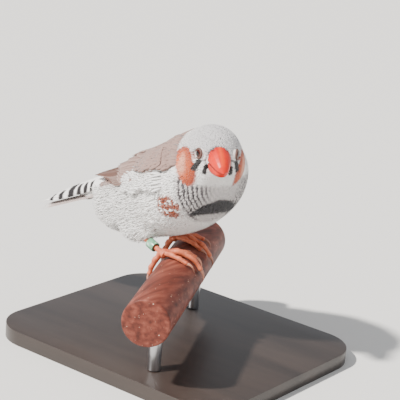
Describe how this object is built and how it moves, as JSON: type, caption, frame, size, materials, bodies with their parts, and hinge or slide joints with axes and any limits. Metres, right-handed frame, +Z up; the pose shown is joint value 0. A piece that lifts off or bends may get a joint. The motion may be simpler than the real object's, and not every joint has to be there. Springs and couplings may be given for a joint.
{
  "type": "zebra finch model",
  "caption": "Life-size still model of a perched cock zebra finch looking over its right shoulder, on a short dowel held by a plain display stand.",
  "frame": {"origin": "centre of the flat underside of the display base, on the floor", "axes": "+X the way the bird's body faces, +Y the bird's left, +Z up"},
  "size_m": [0.116, 0.0921, 0.0831],
  "materials": {
    "body_feathers": "soft white plumage, with a black breast band and a spotted chestnut patch on the flank",
    "head_feathers": "silvery grey plumage with orange chestnut cheeks and black stripes under the eyes",
    "wing_feathers": "dull grey-brown vanes with paler rims",
    "tail_feathers": "white vanes with black bars above and dusky edges below",
    "eye": "wet gloss, nearly black with a dark red-brown iris",
    "bill": "satin red-orange horn",
    "foot_scales": "orange-pink scutes",
    "leg_ring": "glossy green plastic with a paler band",
    "perch_wood": "reddish-brown varnished dowel, worn pale in specks",
    "stand_base": "dark satin lacquer",
    "stand_rod": "brushed"
  },
  "bodies": {
    "root": {"bill_lower": "bill", "bill_upper": "bill", "eye_left": "eye", "eye_right": "eye", "foot_left": "foot_scales", "foot_right": "foot_scales", "head": "head_feathers", "leg_ring": "leg_ring", "neck": "head_feathers", "perch": "perch_wood", "shank_left": "foot_scales", "shank_right": "foot_scales", "stand_base": "stand_base", "stand_rod_left": "stand_rod", "stand_rod_right": "stand_rod", "tail": "tail_feathers", "thigh_left": "body_feathers", "thigh_right": "body_feathers", "torso": "body_feathers", "wing_left": "wing_feathers", "wing_right": "wing_feathers"}
  },
  "joints": []
}
